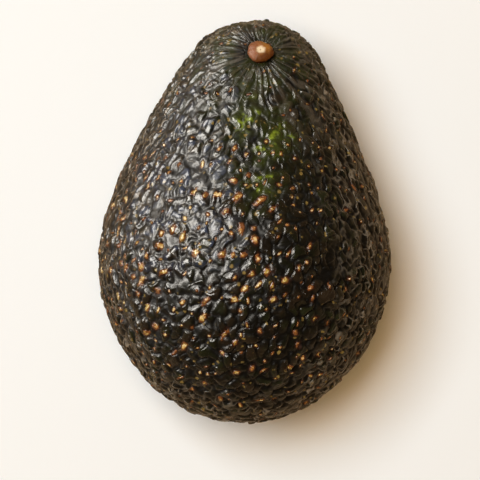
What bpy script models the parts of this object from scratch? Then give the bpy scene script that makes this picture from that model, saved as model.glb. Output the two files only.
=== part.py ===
"""An avocado lying on its side, with the stub of its stem in place.

The fruit is one solid: a pear-shaped body whose neck bends up a little, its
skin raised in pebbles and, round the stem, in folds that run out like spokes.
The stem stub is a separate woody button that stands in a socket in the fruit.
Metres, +Z up. The fruit lies along Y with its stem end towards +Y, and rests
at z = 0 on the flat spot under its belly.
"""

import math

import bmesh
import bpy
import numpy as np

# Body, measured at the floor of the grooves between the pebbles
HALF_LENGTH = 0.0475
HALF_WIDTH = 0.0333
HEIGHT_SHARE = 0.97
AXIS_HEIGHT = 0.03232
# How full each section is along the axis, from -1 at the blossom end to 1 at the neck
NARROWING = -0.33
WAIST = -0.23
SHOULDER = 0.21
ENDS = 0.25
# The line through the middle of the sections
DROOP = -0.0040
NECK_BEND = 0.0120
BEND_START = 0.15
NECK_LEAN = 0.0015

# Where the stem grows, as a direction from the middle of the body
STEM_ALONG = 0.832
STEM_ASIDE = 0.045
DIMPLE_DEPTH = 0.0016
DIMPLE_WIDTH = 0.0055

# Pebbles: how many, how near two may be, and how high and how broad their tops are,
# both as a share of the pebble's own width
PEBBLES = 690
PEBBLE_SPACING = 0.0041
RISE_SHARE = 0.115
RISE_SPREAD = (0.80, 1.12)
TOP_SHARE = 0.60
SHORTEST_GROOVE = 0.0008
EVENING_ROUNDS = 2
SEED = 7

# Folds round the stem: how many, and each ring's distance from the stem and share of a turn
FOLDS = 16
FOLD_RINGS = ((0.0050, 0.0), (0.0098, 0.5))
FOLDED_ZONE = 0.0120
STRETCH_ZONE = 0.034
STRETCH = 0.65

# Stem stub and the socket that it stands in
SOCKET_RADIUS = 0.0022
SOCKET_DEPTH = 0.0026
SOCKET_TAPER = 0.90
STUB_SIDES = 24
STUB_LOBES = 3
LOBE_SHARE = 0.045
STUB_OVAL = 0.89
# Radius and height of the stub's outline, from its foot up over its rim to the scar on top
STUB_OUTLINE = (
    (0.00150, -0.00225),
    (0.00182, -0.00190),
    (0.00186, 0.00040),
    (0.00268, 0.00078),
    (0.00306, 0.00112),
    (0.00310, 0.00148),
    (0.00272, 0.00196),
    (0.00196, 0.00232),
    (0.00128, 0.00250),
    (0.00098, 0.00238),
)
SCAR_DIP = 0.00228


def clear_scene():
    """Removes whatever the file holds."""
    for obj in list(bpy.data.objects):
        bpy.data.objects.remove(obj, do_unlink=True)


def unit(vectors):
    """The vectors, each at length 1."""
    return vectors / np.linalg.norm(vectors, axis=-1, keepdims=True)


def body_points(directions):
    """The smooth body: unit directions, as rows, taken to points in metres.

    A direction's Y picks the section along the axis, and its X and Z the place
    round that section, so the body closes smoothly at both ends.
    """
    a = directions[:, 1]
    fullness = 1 + NARROWING * a + WAIST * a**2 + SHOULDER * a**3 + ENDS * a**4
    bend = np.clip(a - BEND_START, 0, None) ** 2
    lean = np.clip(a, 0, None) ** 3
    x = HALF_WIDTH * fullness * directions[:, 0] + NECK_LEAN * lean
    y = HALF_LENGTH * a
    z = HEIGHT_SHARE * HALF_WIDTH * fullness * directions[:, 2]
    z = z + AXIS_HEIGHT + DROOP * a + NECK_BEND * bend
    return np.stack([x, y, z], axis=1)


def tangents(directions):
    """Two unit vectors square to each direction and to each other."""
    across = np.tile([0.0, 0.0, 1.0], (len(directions), 1))
    across[np.abs(directions[:, 2]) > 0.9] = [1.0, 0.0, 0.0]
    first = unit(np.cross(across, directions))
    return first, np.cross(directions, first)


def body_slopes(directions):
    """How the body's points move as a direction turns, along its two tangents."""
    step = 1e-4
    return [
        (body_points(unit(directions + step * t)) - body_points(unit(directions - step * t))) / (2 * step)
        for t in tangents(directions)
    ]


def body_normals(directions):
    """The body's outward normals."""
    first, second = body_slopes(directions)
    return unit(np.cross(first, second))


STEM_UP = math.sqrt(1 - STEM_ALONG**2 - STEM_ASIDE**2)
STEM_DIRECTION = np.array([[STEM_ASIDE, STEM_ALONG, STEM_UP]])
STEM_POINT = body_points(STEM_DIRECTION)[0]
STEM_AXIS = body_normals(STEM_DIRECTION)[0]
STEM_FOOT = STEM_POINT - DIMPLE_DEPTH * STEM_AXIS
STEM_SIDE = unit(np.cross([0.0, 1.0, 0.0], STEM_AXIS))
STEM_FRONT = np.cross(STEM_AXIS, STEM_SIDE)


def skin_points(directions):
    """Points at the floor of the grooves: the body, sunk in the dimple round the stem."""
    points = body_points(directions)
    away = np.linalg.norm(points - STEM_POINT, axis=1)
    dimple = DIMPLE_DEPTH * np.exp(-((away / DIMPLE_WIDTH) ** 2))
    return points - body_normals(directions) * dimple[:, None]


def ring_directions(distance, shift):
    """Directions of the folds of one ring, at a distance from the stem."""
    first, second = tangents(STEM_DIRECTION)
    tilt = np.linspace(0.0, 0.8, 200)[:, None]
    found = []
    for fold in range(FOLDS):
        turn = 2 * math.pi * (fold + shift) / FOLDS
        sideways = math.cos(turn) * first + math.sin(turn) * second
        arc = np.cos(tilt) * STEM_DIRECTION + np.sin(tilt) * sideways
        away = np.linalg.norm(body_points(arc) - STEM_POINT, axis=1)
        at = np.interp(distance, away, tilt[:, 0])
        found.append(math.cos(at) * STEM_DIRECTION[0] + math.sin(at) * sideways[0])
    return np.array(found)


def scattered_pebbles(taken, rng):
    """Directions of the taken pebbles and of others scattered over the rest of the skin.

    Each try is kept if no pebble is nearer than the spacing. Near the stem the
    distance counts less along the way out from it, so pebbles there grow long.
    """
    tries = unit(rng.normal(size=(80 * PEBBLES, 3)))
    first, second = body_slopes(tries)
    area = np.linalg.norm(np.cross(first, second), axis=1)
    tries = tries[rng.random(len(tries)) < area / area.max()]
    points = body_points(tries)
    from_stem = points - STEM_POINT
    away = np.linalg.norm(from_stem, axis=1)
    outward = from_stem / away[:, None]
    kept = np.zeros((PEBBLES, 3))
    kept[: len(taken)] = body_points(taken)
    found = list(taken)
    for point, direction, gap, out in zip(points, tries, away, outward):
        if gap < FOLDED_ZONE:
            continue
        squeeze = STRETCH + (1 - STRETCH) * min(1.0, gap / STRETCH_ZONE)
        apart = kept[: len(found)] - point
        along = apart @ out
        near = (apart**2).sum(axis=1) - (1 - squeeze**2) * along**2
        if near.min() > squeeze * PEBBLE_SPACING**2:
            kept[len(found)] = point
            found.append(direction)
        if len(found) == PEBBLES:
            break
    return np.array(found)


def neighbour_triangles(directions):
    """Triangles that join neighbouring pebbles: the hull of their places on a plain egg."""
    hull = bmesh.new()
    for x, y, z in directions:
        hull.verts.new((x * HALF_WIDTH, y * HALF_LENGTH, z * HALF_WIDTH))
    hull.verts.index_update()
    bmesh.ops.convex_hull(hull, input=list(hull.verts))
    bmesh.ops.triangulate(hull, faces=list(hull.faces))
    triangles = np.array([[vert.index for vert in face.verts] for face in hull.faces])
    hull.free()
    return triangles


def groove_corners(directions, triangles):
    """Directions of the corners where three pebbles meet."""
    return unit(directions[triangles].sum(axis=1))


def pebble_layout():
    """Directions of the pebbles' middles, the stem's own place first, and their triangles.

    A few rounds that move each scattered pebble to the middle of its own
    corners even out their sizes.
    """
    rng = np.random.default_rng(SEED)
    taken = np.concatenate([STEM_DIRECTION] + [ring_directions(*ring) for ring in FOLD_RINGS])
    directions = scattered_pebbles(taken, rng)
    triangles = neighbour_triangles(directions)
    for _ in range(EVENING_ROUNDS):
        corners = groove_corners(directions, triangles)
        middles = np.zeros_like(directions)
        for column in range(3):
            np.add.at(middles, triangles[:, column], corners)
        directions[len(taken) :] = unit(middles[len(taken) :])
        triangles = neighbour_triangles(directions)
    return directions, triangles


def add_cells(mesh, directions, triangles):
    """Adds each pebble's cell, a polygon of groove corners, and returns the stem's cell."""
    corner_directions = groove_corners(directions, triangles)
    points = skin_points(corner_directions)
    verts = [mesh.verts.new(point) for point in points]
    round_pebble = [[] for _ in directions]
    for corner, triangle in enumerate(triangles):
        for pebble in triangle:
            round_pebble[pebble].append(corner)
    first, second = tangents(directions)
    for pebble, ring in enumerate(round_pebble):
        out = corner_directions[ring] - directions[pebble]
        turns = np.arctan2(out @ second[pebble], out @ first[pebble])
        mesh.faces.new([verts[ring[k]] for k in np.argsort(turns)])
    mesh.faces.ensure_lookup_table()
    return mesh.faces[0]


def raise_pebbles(mesh, cells, rng):
    """Draws each cell up into a pebble with a narrower, flatter top."""
    tops = bmesh.ops.extrude_discrete_faces(mesh, faces=cells)["faces"]
    for top in tops:
        middle = top.calc_center_median()
        width = math.sqrt(top.calc_area())
        lift = top.normal * width * RISE_SHARE * rng.uniform(*RISE_SPREAD)
        for vert in top.verts:
            vert.co = middle.lerp(vert.co, TOP_SHARE) + lift


def sink_socket(mesh, cell):
    """Sinks the stem's cell into a round socket, a little narrower at its foot."""
    for radius, height in ((SOCKET_RADIUS, 0.0), (SOCKET_RADIUS * SOCKET_TAPER, -SOCKET_DEPTH)):
        cell = bmesh.ops.extrude_discrete_faces(mesh, faces=[cell])["faces"][0]
        for vert in cell.verts:
            out = np.array(vert.co) - STEM_FOOT
            out = unit(out - (out @ STEM_AXIS) * STEM_AXIS)
            vert.co = STEM_FOOT + radius * out + height * STEM_AXIS


def build_fruit():
    """The fruit: a body of pebbles with grooves between, a socket, and a flat spot below."""
    mesh = bmesh.new()
    stem_cell = add_cells(mesh, *pebble_layout())
    bmesh.ops.remove_doubles(mesh, verts=list(mesh.verts), dist=SHORTEST_GROOVE)
    bmesh.ops.recalc_face_normals(mesh, faces=list(mesh.faces))
    raise_pebbles(mesh, [face for face in mesh.faces if face != stem_cell], np.random.default_rng(SEED))
    sink_socket(mesh, stem_cell)
    for vert in mesh.verts:
        vert.co.z = max(vert.co.z, 0.0)
    return finish("fruit", mesh, flesh_skin())


def build_stub():
    """The stem stub: its outline turned round the stem's axis, a little oval and three-lobed."""
    mesh = bmesh.new()
    rings = []
    for radius, height in STUB_OUTLINE:
        ring = []
        for side in range(STUB_SIDES):
            turn = 2 * math.pi * side / STUB_SIDES
            swell = radius * (1 + LOBE_SHARE * math.cos(STUB_LOBES * turn) * min(1.0, radius / 0.003))
            out = math.cos(turn) * STEM_SIDE + STUB_OVAL * math.sin(turn) * STEM_FRONT
            ring.append(mesh.verts.new(STEM_FOOT + swell * out + height * STEM_AXIS))
        rings.append(ring)
    for lower, upper in zip(rings, rings[1:]):
        for k in range(STUB_SIDES):
            n = (k + 1) % STUB_SIDES
            mesh.faces.new((lower[k], lower[n], upper[n], upper[k]))
    mesh.faces.new(rings[0])
    scar = mesh.verts.new(STEM_FOOT + SCAR_DIP * STEM_AXIS)
    for k in range(STUB_SIDES):
        mesh.faces.new((rings[-1][k], rings[-1][(k + 1) % STUB_SIDES], scar))
    return finish("stem_button", mesh, stem_wood())


def finish(name, mesh, material):
    """Makes an object of a bmesh, with its faces pointing out."""
    bmesh.ops.recalc_face_normals(mesh, faces=list(mesh.faces))
    data = bpy.data.meshes.new(name)
    mesh.to_mesh(data)
    mesh.free()
    data.materials.append(material)
    data.shade_smooth()
    data.set_sharp_from_angle(angle=math.radians(50))
    obj = bpy.data.objects.new(name, data)
    bpy.context.scene.collection.objects.link(obj)
    return obj


def plain_material(name, colour, roughness):
    """A Principled BSDF with one colour and roughness."""
    material = bpy.data.materials.new(name)
    material.use_nodes = True
    shader = material.node_tree.nodes["Principled BSDF"]
    shader.inputs["Base Color"].default_value = (*colour, 1.0)
    shader.inputs["Roughness"].default_value = roughness
    shader.inputs["Metallic"].default_value = 0.0
    return material


def flesh_skin():
    """Ripe avocado skin: a waxy brown-black green."""
    return plain_material("ripe_skin", (0.030, 0.028, 0.015), 0.38)


def stem_wood():
    """Dried stem: a warm orange brown."""
    return plain_material("dry_stem", (0.42, 0.18, 0.06), 0.55)


def main():
    """Builds the avocado."""
    clear_scene()
    build_fruit()
    build_stub()


main()
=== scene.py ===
"""A ripe avocado on a pale surface, seen from straight above in soft light.

The skin is one fine mesh: a pear-shaped body raised in small pebbles of uneven
size, with long folds round the stem. Corky specks, the green left near the neck
and the wax come from the material, which also paints shade into the grooves, a
bluish sheen onto the waxed tops and pale glints onto fine crests. The stem's
woody stub is a turned piece, with painted shade on its sides and lower right.
"""

from __future__ import annotations

import logging
import math
from dataclasses import dataclass, field
from enum import Enum

import bpy
import numpy as np
from mathutils import Matrix, Vector

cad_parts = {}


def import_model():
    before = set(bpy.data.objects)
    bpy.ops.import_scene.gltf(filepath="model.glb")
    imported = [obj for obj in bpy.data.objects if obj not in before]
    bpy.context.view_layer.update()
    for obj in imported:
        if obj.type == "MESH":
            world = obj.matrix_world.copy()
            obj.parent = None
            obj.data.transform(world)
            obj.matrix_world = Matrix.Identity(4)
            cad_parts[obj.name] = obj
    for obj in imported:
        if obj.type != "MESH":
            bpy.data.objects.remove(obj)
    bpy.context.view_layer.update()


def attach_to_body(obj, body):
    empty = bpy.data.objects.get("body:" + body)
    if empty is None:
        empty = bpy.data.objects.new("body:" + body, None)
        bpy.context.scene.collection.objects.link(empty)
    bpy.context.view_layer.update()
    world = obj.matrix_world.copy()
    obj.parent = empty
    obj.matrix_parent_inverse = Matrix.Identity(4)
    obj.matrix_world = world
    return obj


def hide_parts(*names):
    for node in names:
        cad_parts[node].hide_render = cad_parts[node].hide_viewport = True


log = logging.getLogger("avocado")

MM = 0.001
Colour = tuple[float, float, float, float]


class Slot(Enum):
    """Material slots of the record."""

    SKIN = "skin"
    STEM = "stem"


class Reach(Enum):
    """What a light acts on."""

    SHADE = "shade"
    SHEEN = "sheen"


def unit(vectors: np.ndarray) -> np.ndarray:
    """Scales vectors to length 1.

    Args:
        vectors: Vectors along the last axis.

    Returns:
        The same vectors, each of length 1.
    """
    return vectors / np.linalg.norm(vectors, axis=-1, keepdims=True)


def smooth(low: float, high: float, values: np.ndarray) -> np.ndarray:
    """Eases from 0 at low to 1 at high.

    Args:
        low: Value that gives 0.
        high: Value that gives 1.
        values: Values to ease.

    Returns:
        The eased values.
    """
    t = np.clip((values - low) / (high - low), 0.0, 1.0)
    return t * t * (3.0 - 2.0 * t)


@dataclass(frozen=True)
class Ripple:
    """A smooth random field: plane waves in random directions, added up.

    Attributes:
        wavelength: Mean wavelength in metres.
        seed: Seed of the random directions and phases.
        waves: How many waves are added.
    """

    wavelength: float
    seed: int
    waves: int = 22

    def at(self, points: np.ndarray) -> np.ndarray:
        """Evaluates the field.

        Args:
            points: Points in metres, as rows.

        Returns:
            One value for each point, mostly between -2 and 2.
        """
        rng = np.random.default_rng(self.seed)
        ways = unit(rng.normal(size=(self.waves, 3)))
        lengths = self.wavelength * rng.uniform(0.65, 1.6, self.waves)
        phases = rng.uniform(0.0, 2.0 * math.pi, self.waves)
        turns = points @ (ways * (2.0 * math.pi / lengths)[:, None]).T + phases
        return np.cos(turns).sum(axis=1) * math.sqrt(2.0 / self.waves)


@dataclass(frozen=True)
class Body:
    """The pear-shaped body at the floor of the grooves, with its stem end towards +Y.

    A unit direction's Y, called a, picks the section along the axis. Its X and Z
    pick the place round that section, whose radius is half_width times the
    fullness polynomial times the root of 1 - a*a. The axis drops evenly towards the
    neck, bends up again with the square of the way past bend_start, and leans aside
    with the cube of a.

    Attributes:
        half_length: Half of the length in metres.
        half_width: Radius that the fullness multiplies.
        height_share: Height of a section over its width.
        axis_height: Height of the axis above the table at the middle.
        fullness: Factors of a, a^2, a^3 and a^4 in the fullness.
        droop: Drop of the axis towards the neck.
        neck_bend: How far the neck bends up again.
        bend_start: Where along the axis the bend starts.
        neck_lean: How far the neck leans to +X.
    """

    half_length: float = 0.0475
    half_width: float = 0.0333
    height_share: float = 0.97
    axis_height: float = 0.03232
    fullness: tuple[float, float, float, float] = (-0.33, -0.23, 0.21, 0.25)
    droop: float = -0.0040
    neck_bend: float = 0.0120
    bend_start: float = 0.15
    neck_lean: float = 0.0015

    def points(self, directions: np.ndarray) -> np.ndarray:
        """Takes unit directions to points of the body.

        Args:
            directions: Unit directions, as rows.

        Returns:
            Points in metres, as rows.
        """
        a = directions[:, 1]
        full = 1.0 + sum(factor * a ** (k + 1) for k, factor in enumerate(self.fullness))
        x = self.half_width * full * directions[:, 0] + self.neck_lean * np.clip(a, 0, None) ** 3
        bend = self.neck_bend * np.clip(a - self.bend_start, 0, None) ** 2
        z = self.height_share * self.half_width * full * directions[:, 2]
        z = z + self.axis_height + self.droop * a + bend
        return np.stack([x, self.half_length * a, z], axis=1)

    def normals(self, directions: np.ndarray) -> np.ndarray:
        """Finds outward normals from the slopes along two tangents of each direction.

        Args:
            directions: Unit directions, as rows.

        Returns:
            Unit normals, as rows.
        """
        across = np.tile([0.0, 0.0, 1.0], (len(directions), 1))
        across[np.abs(directions[:, 2]) > 0.9] = [1.0, 0.0, 0.0]
        first = unit(np.cross(across, directions))
        second = np.cross(directions, first)
        step = 1e-4
        slopes = [
            self.points(unit(directions + step * way)) - self.points(unit(directions - step * way))
            for way in (first, second)
        ]
        return unit(np.cross(*slopes))


@dataclass(frozen=True)
class StemPlace:
    """Where the stem grows, with axes for what is built there.

    Attributes:
        point: Where the stem's axis meets the smooth body.
        axis: Unit vector out along the stem.
        side: Unit vector across it, near +X.
        front: Unit vector across both.
    """

    point: np.ndarray
    axis: np.ndarray
    side: np.ndarray
    front: np.ndarray

    @classmethod
    def on(cls, body: Body, along: float, aside: float) -> StemPlace:
        """Finds the place on a body.

        Args:
            body: The body the stem grows on.
            along: The direction's share along +Y.
            aside: The direction's share along +X.

        Returns:
            The place, on the upper side.
        """
        direction = np.array([[aside, along, math.sqrt(1.0 - along**2 - aside**2)]])
        axis = body.normals(direction)[0]
        side = unit(np.cross([0.0, 1.0, 0.0], axis))
        return cls(body.points(direction)[0], axis, side, np.cross(axis, side))


@dataclass(frozen=True)
class Lattice:
    """The points of a cube's faces, spread evenly in angle, as directions.

    Attributes:
        cells: Cells along a cube edge.
        upward: How far the points crowd towards +Z, where the fruit is seen.
    """

    cells: int = 127
    upward: float = 0.24

    def build(self) -> tuple[np.ndarray, np.ndarray]:
        """Lists the lattice's points once each, and the quads between them.

        Returns:
            Whole-number lattice points from -cells to cells, as rows, and the
            quads as rows of four point numbers, facing outwards.
        """
        steps = np.arange(-self.cells, self.cells + 1, 2)
        u, v = np.meshgrid(steps, steps, indexing="ij")
        w = np.full_like(u, self.cells)
        faces = [
            np.stack(order, axis=-1)
            for order in ((w, u, v), (v, w, u), (u, v, w), (-w, v, u), (u, -w, v), (v, u, -w))
        ]
        every = np.stack(faces)
        points, number = np.unique(every.reshape(-1, 3), axis=0, return_inverse=True)
        grid = number.reshape(every.shape[:3])
        quads = np.stack([grid[:, :-1, :-1], grid[:, 1:, :-1], grid[:, 1:, 1:], grid[:, :-1, 1:]], axis=-1)
        return points, quads.reshape(-1, 4)

    def directions(self, points: np.ndarray) -> np.ndarray:
        """Turns lattice points into unit directions.

        Args:
            points: Lattice points, as rows.

        Returns:
            Unit directions, as rows.
        """
        even = unit(np.tan(points * (math.pi / 4.0 / self.cells)))
        return unit(even + np.array([0.0, 0.0, self.upward]))


@dataclass(frozen=True)
class Nearby:
    """Finds what lies near each skin point, by way of a coarser lattice.

    Attributes:
        points: The skin points, as rows.
        coarse: The coarse points, as rows.
        block: For each skin point, the number of its coarse point.
    """

    points: np.ndarray
    coarse: np.ndarray
    block: np.ndarray

    @classmethod
    def on(cls, body: Body, lattice: Lattice, places: np.ndarray, step: int = 16) -> Nearby:
        """Sorts the lattice's points into blocks.

        Args:
            body: The body that gives the points.
            lattice: The lattice.
            places: Its lattice points, as rows.
            step: Block size in lattice units.

        Returns:
            The finder.
        """
        rounded = np.clip(np.round(places / step) * step, -lattice.cells, lattice.cells)
        blocks, block = np.unique(rounded, axis=0, return_inverse=True)
        coarse = body.points(lattice.directions(blocks))
        return cls(body.points(lattice.directions(places)), coarse, block.reshape(-1))

    def gaps(self, targets: np.ndarray, count: int) -> tuple[np.ndarray, np.ndarray]:
        """Lists the nearest targets of each skin point's block.

        Args:
            targets: Points to be found, as rows.
            count: How many to list for each skin point.

        Returns:
            The targets' numbers, one row for each skin point, and the vectors
            from those targets to the point.
        """
        apart = np.linalg.norm(self.coarse[:, None, :] - targets[None, :, :], axis=2)
        near = np.argpartition(apart, count, axis=1)[:, :count][self.block]
        return near, self.points[:, None, :] - targets[near]


def scattered(count: int, jitter: float, rng: np.random.Generator) -> np.ndarray:
    """Scatters directions evenly, on a golden-angle spiral with random shifts.

    Args:
        count: How many directions.
        jitter: Size of the shifts, as a share of the spacing.
        rng: Source of the shifts.

    Returns:
        Unit directions, as rows.
    """
    k = np.arange(count)
    level = 1.0 - (2.0 * k + 1.0) / count
    turn = k * math.pi * (3.0 - math.sqrt(5.0))
    ring = np.sqrt(1.0 - level**2)
    spiral = np.stack([ring * np.cos(turn), level, ring * np.sin(turn)], axis=1)
    return unit(spiral + rng.normal(size=(count, 3)) * jitter * math.sqrt(4.0 * math.pi / count))


def nearest_two(distances: np.ndarray) -> tuple[np.ndarray, np.ndarray, np.ndarray]:
    """Finds the two least distances of each row.

    Args:
        distances: Distances, one row for each point.

    Returns:
        The column of the least, the least, and by how much the next exceeds it.
    """
    two = np.partition(distances, 1, axis=1)
    return np.argmin(distances, axis=1), two[:, 0], two[:, 1] - two[:, 0]


@dataclass(frozen=True)
class Relief:
    """Heights of the skin above the groove floors.

    Attributes:
        pebbles: How many pebbles cover the fruit.
        neighbours: How many of them are looked at for each skin point.
        jitter: How uneven their layout is.
        height: Height of a middling pebble.
        uneven: Heights of the lowest and the highest pebble over a middling one's.
        dome: Share of the height lost by a distance from a pebble's middle, and that distance.
        groove: Width of a groove's side.
        wander: Wavelength and size of the shift that makes the grooves wind.
        joining: Wavelength of the field that joins pebbles in ridges.
        slender: Width of a pebble over its length, near the stem and far from it.
        slender_span: Distances from the stem between which that changes.
        slant: Direction in the plane of the table in which the pebbles are long, away from the stem.
        slant_span: Distances from the stem between which they turn to the slant.
        swell: Wavelength and height of the broad unevenness.
        grain: Wavelength and height of the fine unevenness.
        folds: How many folds run out from the stem.
        fold_height: Height of the folds.
        fold_start: Distances from the stem between which the folds rise.
        fold_end: Distances from the stem between which they give way to pebbles.
        dimple: Depth and width of the dimple round the stem.
        socket: Radius and depth of the stem's socket.
        seed: Seed of the layout.
    """

    pebbles: int = 2300
    neighbours: int = 36
    jitter: float = 0.34
    height: float = 0.00066
    uneven: tuple[float, float] = (0.55, 1.25)
    dome: tuple[float, float] = (0.22, 0.0016)
    groove: float = 0.00038
    wander: tuple[float, float] = (0.0042, 0.00042)
    joining: float = 0.0052
    slender: tuple[float, float] = (0.50, 0.78)
    slender_span: tuple[float, float] = (0.006, 0.040)
    slant: tuple[float, float] = (-0.5, -0.85)
    slant_span: tuple[float, float] = (0.012, 0.050)
    swell: tuple[float, float] = (0.011, 0.00012)
    grain: tuple[float, float] = (0.0014, 0.00002)
    folds: int = 26
    fold_height: float = 0.00044
    fold_start: tuple[float, float] = (0.0024, 0.0045)
    fold_end: tuple[float, float] = (0.0065, 0.0145)
    dimple: tuple[float, float] = (0.0016, 0.0055)
    socket: tuple[float, float] = (0.0022, 0.0024)
    seed: int = 11


@dataclass(frozen=True)
class Specks:
    """Layout of the corky specks.

    Attributes:
        tries: How many specks are tried before thinning.
        neighbours: How many of them are looked at for each skin point.
        jitter: How uneven their layout is.
        smallest: Smallest half-width.
        largest: Largest half-width.
        rarity: Power of the draw that sets the width: the higher, the fewer large specks.
        longest: Largest half-length, as a multiple of the half-width.
        lean: Direction that their long sides tend to.
        spacing: Least distance between two.
        clearing: Extra distance of the next speck at which a speck is cut off, and at which it is whole.
        seed: Seed of the layout.
    """

    tries: int = 3000
    neighbours: int = 14
    jitter: float = 0.45
    smallest: float = 0.00025
    largest: float = 0.00086
    rarity: float = 2.1
    longest: float = 2.9
    lean: tuple[float, float, float] = (1.0, 1.8, 0.0)
    spacing: float = 0.0018
    clearing: tuple[float, float] = (0.0007, 0.0012)
    seed: int = 5


@dataclass(frozen=True)
class Greens:
    """The green that the ripe skin keeps, in metres across (X) and along (Y) the fruit.

    Attributes:
        streak: Middle and half-width, across the fruit, of the streak down from the stem.
        streak_span: Places along the fruit between which the streak sets in.
        patch: Middle across and along, half-width and half-length of the patch left of the stem.
        spots: Middle across and along, and half-width, of the brightest spots.
        dullest: Most green outside these spots, from 0 to 1.
        patchy: Wavelength of the field that makes the green uneven.
    """

    streak: tuple[float, float] = (0.0026, 0.0062)
    streak_span: tuple[float, float] = (-0.004, 0.014)
    patch: tuple[float, float, float, float] = (-0.0075, 0.0405, 0.0060, 0.0075)
    spots: tuple[tuple[float, float, float], ...] = (
        (-0.0004, 0.0236, 0.0030),
        (0.0034, 0.0166, 0.0032),
        (0.0026, 0.0082, 0.0026),
        (0.0084, 0.0194, 0.0024),
    )
    dullest: float = 0.52
    patchy: float = 0.0055


@dataclass
class Skin:
    """The fruit's skin, as one closed mesh with the fields its material reads.

    Attributes:
        body: The smooth body.
        stem: Where the stem grows.
        relief: The pebbles and folds.
        specks: The corky specks.
        greens: The green left.
        lattice: The lattice that carries the mesh.
    """

    body: Body
    stem: StemPlace
    relief: Relief = field(default_factory=Relief)
    specks: Specks = field(default_factory=Specks)
    greens: Greens = field(default_factory=Greens)
    lattice: Lattice = field(default_factory=Lattice)

    def build(self, material: bpy.types.Material) -> bpy.types.Object:
        """Makes the skin's object: the smooth body, raised by the relief, flat where it would pass the table.

        Args:
            material: The skin's material.

        Returns:
            The object, named fruit_skin.
        """
        places, quads = self.lattice.build()
        nearby = Nearby.on(self.body, self.lattice, places)
        smooth_points = nearby.points
        normals = self.body.normals(self.lattice.directions(places))
        height, crown = self.heights(nearby)
        offset, clear, tone = self.speck_fields(nearby)
        points = smooth_points + normals * (height - self.hollow(smooth_points))[:, None]
        points[:, 2] = np.maximum(points[:, 2], 0.0)
        values = {
            "crown": crown,
            **self.marks(smooth_points, normals[:, 2]),
            "green": self.green(smooth_points),
            "speck_clear": clear,
            "speck_tone": tone,
            "speck_offset": offset,
        }
        return make_object("fruit_skin", points, [quads], material, values)

    def stem_polar(self, points: np.ndarray) -> tuple[np.ndarray, np.ndarray]:
        """Measures points from the stem.

        Args:
            points: Points in metres, as rows.

        Returns:
            Distance from the stem's place, and the turn round its axis.
        """
        out = points - self.stem.point
        return np.linalg.norm(out, axis=1), np.arctan2(out @ self.stem.front, out @ self.stem.side)

    def pebbles(self, nearby: Nearby, away: np.ndarray) -> np.ndarray:
        """Works out the pebbles, from 0 in a groove to 1 on a middling top.

        The nearest and second nearest pebble middles are found at slightly
        shifted points, so the grooves wander. Distances along a pebble's long
        side count for less. The value grows with the gap between the two
        distances, by twice the way from the groove's line, and falls off from
        a pebble's middle. Where a slow random field is low the grooves close,
        so neighbours run together in ridges.

        Args:
            nearby: The finder of what is near each skin point.
            away: Distance of each skin point from the stem.

        Returns:
            One value for each skin point.
        """
        relief, points = self.relief, nearby.points
        rng = np.random.default_rng(relief.seed)
        middles = self.body.points(scattered(relief.pebbles, relief.jitter, rng))
        near, gaps = nearby.gaps(middles, relief.neighbours)
        wavelength, shift = relief.wander
        warp = np.stack([Ripple(wavelength, relief.seed + k).at(points) for k in range(3)], axis=1)
        gaps = gaps + shift * warp[:, None, :]
        slanted = smooth(*relief.slant_span, away)[:, None]
        outward = (points - self.stem.point) / away[:, None]
        lengthwise = unit((1.0 - slanted) * outward + slanted * np.array([*relief.slant, 0.0]))
        along = np.einsum("pkc,pc->pk", gaps, lengthwise)
        narrow, full = relief.slender
        slender = narrow + (full - narrow) * smooth(*relief.slender_span, away)
        squared = (gaps**2).sum(axis=2) - (1.0 - slender**2)[:, None] * along**2
        column, least, margin = nearest_two(np.sqrt(np.maximum(squared, 0.0)))
        first = near[np.arange(len(near)), column]
        rise = rng.uniform(*relief.uneven, relief.pebbles)[first]
        loss, within = relief.dome
        dome = 1.0 - loss * np.clip(least / within, 0.0, 1.0) ** 2
        crown = smooth(0.0, 2.0 * relief.groove, margin) * dome * rise
        open_share = smooth(-1.5, 0.4, Ripple(relief.joining, relief.seed + 7).at(points))
        return crown * open_share + (1.0 - open_share) * (0.45 + 0.55 * crown)

    def heights(self, nearby: Nearby) -> tuple[np.ndarray, np.ndarray]:
        """Raises the pebbles, and folds near the stem.

        The folds are a wave in the turn round the stem, with a slower wave and
        random fields that make them uneven. The relief is a little taller
        towards the blossom end, and a broad and a fine field are added.

        Args:
            nearby: The finder of what is near each skin point.

        Returns:
            Heights in metres, and the same from 0 in a groove to 1 on a top.
        """
        relief, points = self.relief, nearby.points
        away, turn = self.stem_polar(points)
        pebbles = self.pebbles(nearby, away)
        wave = 0.5 + 0.5 * np.cos(relief.folds * turn + 1.3 * Ripple(0.009, relief.seed + 9).at(points))
        wave = wave * (0.65 + 0.35 * np.cos(5.0 * turn + 1.5 * Ripple(0.006, relief.seed + 8).at(points)))
        ragged = away + 0.0020 * Ripple(0.006, relief.seed + 3).at(points)
        folded = 1.0 - smooth(*relief.fold_end, ragged)
        crown = pebbles * (1.0 - folded) + folded * wave
        tall = relief.height * (1.0 - folded) + relief.fold_height * folded
        tall = tall * smooth(*relief.fold_start, away) * (1.0 + 0.30 * smooth(0.012, -0.020, points[:, 1]))
        uneven = sum(
            high * Ripple(wavelength, relief.seed + k).at(points)
            for k, (wavelength, high) in ((4, relief.swell), (5, relief.grain))
        )
        return tall * crown + uneven * smooth(0.003, 0.008, away), np.clip(crown, 0.0, 1.2)

    def hollow(self, points: np.ndarray) -> np.ndarray:
        """Depth of the dimple, a bell curve, and of the socket in it.

        Args:
            points: Points of the smooth body, as rows.

        Returns:
            Depths in metres.
        """
        away, _ = self.stem_polar(points)
        deep, wide = self.relief.dimple
        radius, well = self.relief.socket
        return deep * np.exp(-((away / wide) ** 2)) + well * (1.0 - smooth(0.75 * radius, 1.2 * radius, away))

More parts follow.
